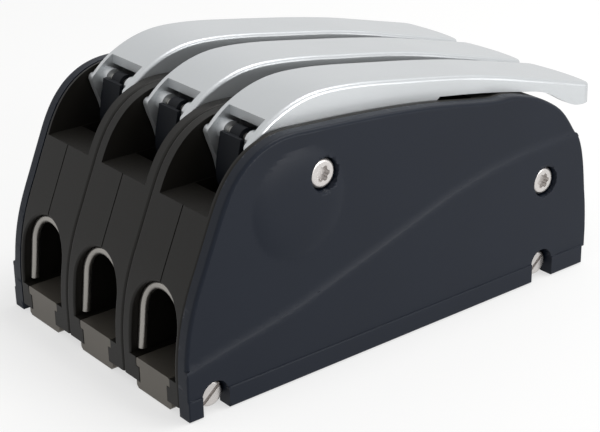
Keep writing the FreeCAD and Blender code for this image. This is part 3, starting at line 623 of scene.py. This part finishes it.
@dataclass
class Handle(Assembly):
    """The lever of one clutch, with the line of its back drawn fair.

    Args:
        number: Number of the clutch, from the near one.
        fair_from: Where the redrawn stretch starts along the rope, in metres.
        fair_to: Where it ends.
        step: Distance of the heights that are read from the back.
        slope_parts: Parts of the stretch, of which the outer two give its end slopes.
        skin: Depth under the back that moves with it.
        fade: Further depth over which the move dies out.
    """

    number: int
    fair_from: float = 0.007
    fair_to: float = 0.057
    step: float = 0.0005
    slope_parts: int = 16
    skin: float = 0.003
    fade: float = 0.006
    title = "handle"

    def build(self) -> None:
        """Builds the lever over its CAD node and finishes it."""
        node = f"handle_{self.number}"
        mesh = self.nodes[node].data.copy()
        self._draw_fair(mesh)
        self.show(mesh, f"lever_{self.number}", node, f"handle_body_{self.number}",
                  "handle_alloy", even=False)

    def _draw_fair(self, mesh: bpy.types.Mesh) -> None:
        """Moves the back of the lever on to one even curve.

        Args:
            mesh: Mesh of the lever, in metres.
        """
        tree = BVHTree.FromPolygons([v.co for v in mesh.vertices],
                                    [p.vertices for p in mesh.polygons])
        ys = [v.co.y for v in mesh.vertices]
        middle_y = (min(ys) + max(ys)) / 2
        sky = max(v.co.z for v in mesh.vertices) + self.fade

        def back(x: float) -> float:
            """Height of the back at x."""
            return tree.ray_cast(Vector((x, middle_y, sky)), Vector((0, 0, -1)))[0].z

        span = self.fair_to - self.fair_from
        count = round(span / self.step)
        heights = [back(self.fair_from + span * i / count) for i in range(count + 1)]
        edge = count // self.slope_parts
        slopes = [(heights[edge] - heights[0]) * count / edge,
                  (heights[-1] - heights[-1 - edge]) * count / edge]
        lifts = [self._even(i / count, heights[0], heights[-1], slopes) - height
                 for i, height in enumerate(heights)]
        for vertex in mesh.vertices:
            place = (vertex.co.x - self.fair_from) / span * count
            if 0 < place < count:
                low = int(place)
                part = place - low
                lift = lifts[low] * (1 - part) + lifts[low + 1] * part
                depth = heights[low] - vertex.co.z
                share = 1 - (depth - self.skin) / self.fade
                vertex.co.z += lift * min(max(share, 0.0), 1.0)

    @staticmethod
    def _even(t: float, start: float, end: float, slopes: list[float]) -> float:
        """Height of the cubic that leaves and meets the back at its own slopes.

        Args:
            t: Share of the stretch, from 0 to 1.
            start: Height where the stretch starts.
            end: Height where it ends.
            slopes: Rise over the whole stretch at each end's slope.

        Returns:
            The height.
        """
        return (start * (1 - 3 * t ** 2 + 2 * t ** 3) + end * (3 * t ** 2 - 2 * t ** 3)
                + slopes[0] * t * (1 - t) ** 2 - slopes[1] * (1 - t) * t ** 2)


@dataclass
class CrossMembers(Assembly):
    """Rods, bolts and nuts that hold the modules together."""

    title = "cross members"

    def build(self) -> None:
        """Finishes the rods, bolts and nuts."""
        for rod in ("handle_axle", "tie_rod"):
            self.dress(self.nodes[rod], "axle_steel")
        for place in ("front", "rear"):
            self.dress(self.nodes[f"base_bolt_{place}"], "screw_steel")
            self.dress(self.nodes[f"base_nut_{place}"], "screw_steel")


@dataclass(frozen=True)
class SoftLight:
    """One area light aimed at the part.

    Args:
        name: Light name.
        position: Place in metres.
        size: Edge length in metres.
        power: Power in watts.
    """

    name: str
    position: tuple[float, float, float]
    size: float
    power: float


@dataclass
class Studio:
    """Pale floor, white surroundings and soft lights.

    Args:
        floor_size: Edge length of the floor in metres.
        floor_gap: Distance of the floor below the part.
        floor_colour: Colour of the floor's paper, as an sRGB hex string.
        floor_white: Strength of the white that is seen on the paper.
        ambient: Strength of the surroundings as a light.
        glow: Share of the floor's white in what is seen of it.
        target: Point that the lights are aimed at.
        lights: The soft lights.
    """

    floor_size: float = 6.0
    floor_gap: float = 0.0003
    floor_colour: str = "#f7f7f6"
    floor_white: float = 1.1
    ambient: float = 0.50
    glow: float = 0.55
    target: tuple[float, float, float] = (0.0, 0.0, 0.04)
    lights: tuple[SoftLight, ...] = (
        SoftLight("key", (0.40, -0.15, 0.90), 0.50, 4.6),
        SoftLight("side", (0.40, -0.95, 0.12), 0.35, 5.0),
    )

    def build(self) -> None:
        """Adds the floor, the surroundings and the lights."""
        scene = bpy.context.scene
        scene.view_settings.view_transform = "Standard"
        scene.world = self._surroundings()
        bpy.ops.mesh.primitive_plane_add(size=self.floor_size,
                                         location=(0, 0, -self.floor_gap))
        floor = bpy.context.object
        floor.name = "floor"
        floor.data.materials.append(self._paper())
        for light in self.lights:
            self._add(light)
        log.info("studio: floor and %d soft lights", len(self.lights))

    def _seen(self, tree: bpy.types.NodeTree) -> bpy.types.NodeSocket:
        """Adds the nodes that tell a look at the backdrop from its light.

        Args:
            tree: Node tree to add to.

        Returns:
            The socket that is 1 for camera, mirror and glass rays.
        """
        rays = add_node(tree, "ShaderNodeLightPath").outputs
        mirrored = add_node(tree, "ShaderNodeMath", {
            0: rays["Is Glossy Ray"], 1: rays["Is Transmission Ray"]}, operation="MAXIMUM")
        return add_node(tree, "ShaderNodeMath", {
            0: rays["Is Camera Ray"], 1: mirrored.outputs["Value"]},
            operation="MAXIMUM").outputs["Value"]

    def _paper(self) -> bpy.types.Material:
        """Builds the floor's white paper, which keeps the shadow of the part.

        Returns:
            The material.
        """
        paper = bpy.data.materials.new("Pale studio paper")
        paper.use_nodes = True
        tree = paper.node_tree
        tree.nodes.clear()
        matte = add_node(tree, "ShaderNodeBsdfDiffuse",
                         inputs={"Color": linear(self.floor_colour)})
        white = add_node(tree, "ShaderNodeEmission", inputs={"Strength": self.floor_white})
        share = add_node(tree, "ShaderNodeMath", {0: self._seen(tree)}, operation="MULTIPLY")
        share.inputs[1].default_value = self.glow
        both = add_node(tree, "ShaderNodeMixShader", {
            0: share.outputs["Value"], 1: matte.outputs["BSDF"],
            2: white.outputs["Emission"]})
        add_node(tree, "ShaderNodeOutputMaterial", {"Surface": both.outputs["Shader"]})
        return paper

    def _surroundings(self) -> bpy.types.World:
        """Builds the surroundings, white where they are seen and softer as a light.

        Returns:
            The world.
        """
        world = bpy.data.worlds.new("White studio")
        world.use_nodes = True
        tree = world.node_tree
        tree.nodes.clear()
        level = add_node(tree, "ShaderNodeMapRange", {"Value": self._seen(tree)},
                         inputs={"To Min": self.ambient, "To Max": 1.0})
        sky = add_node(tree, "ShaderNodeBackground", {"Strength": level.outputs["Result"]},
                       inputs={"Color": linear("#ffffff")})
        add_node(tree, "ShaderNodeOutputWorld", {"Surface": sky.outputs["Background"]})
        return world

    def _add(self, light: SoftLight) -> None:
        """Adds one soft light.

        Args:
            light: The light to add.
        """
        data = bpy.data.lights.new(light.name, "AREA")
        data.size = light.size
        data.energy = light.power
        lamp = bpy.data.objects.new(light.name, data)
        bpy.context.scene.collection.objects.link(lamp)
        lamp.location = light.position
        aim = Vector(self.target) - lamp.location
        lamp.rotation_euler = aim.to_track_quat("-Z", "Y").to_euler()


@dataclass
class PhotoCamera:
    """Camera at the photograph's angle, fitted to measured points.

    Args:
        position: Place in metres.
        angles_deg: Turns about the three axes.
        lens: Focal length in millimetres.
        sensor_width: Width of the sensor in millimetres.
        shift: Shift of the picture across and up, as shares of its width.
        clip_start: Nearest distance that is shown, in metres.
    """

    position: tuple[float, float, float] = (-0.306435, -0.394989, 0.247103)
    angles_deg: tuple[float, float, float] = (66.0282, 1.1357, -38.6450)
    lens: float = 97.976
    sensor_width: float = 36.0
    shift: tuple[float, float] = (-0.002105, 0.005760)
    clip_start: float = 0.01

    def build(self) -> None:
        """Adds the camera."""
        data = bpy.data.cameras.new("photo camera")
        data.lens = self.lens
        data.sensor_width = self.sensor_width
        data.shift_x, data.shift_y = self.shift
        data.clip_start = self.clip_start
        camera = bpy.data.objects.new("photo camera", data)
        camera.location = self.position
        camera.rotation_euler = Euler([math.radians(a) for a in self.angles_deg])
        bpy.context.scene.collection.objects.link(camera)
        bpy.context.scene.camera = camera
        log.info("camera: %.0f mm", self.lens)


def main() -> None:
    """Builds the scene."""
    logging.basicConfig(level=logging.INFO, format="%(name)s %(message)s")
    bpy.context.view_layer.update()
    surfaces = SurfaceLibrary(FINISHES)
    nodes = frame["nodes"]
    shoulder = Shoulder(nodes["near_cover"].data)
    SideCovers(nodes, surfaces, shoulder).build()
    for number in (1, 2, 3):
        Module(nodes, surfaces, shoulder, number).build()
        Handle(nodes, surfaces, number).build()
    CrossMembers(nodes, surfaces).build()
    Studio().build()
    PhotoCamera().build()


if __name__ == "__main__":
    main()
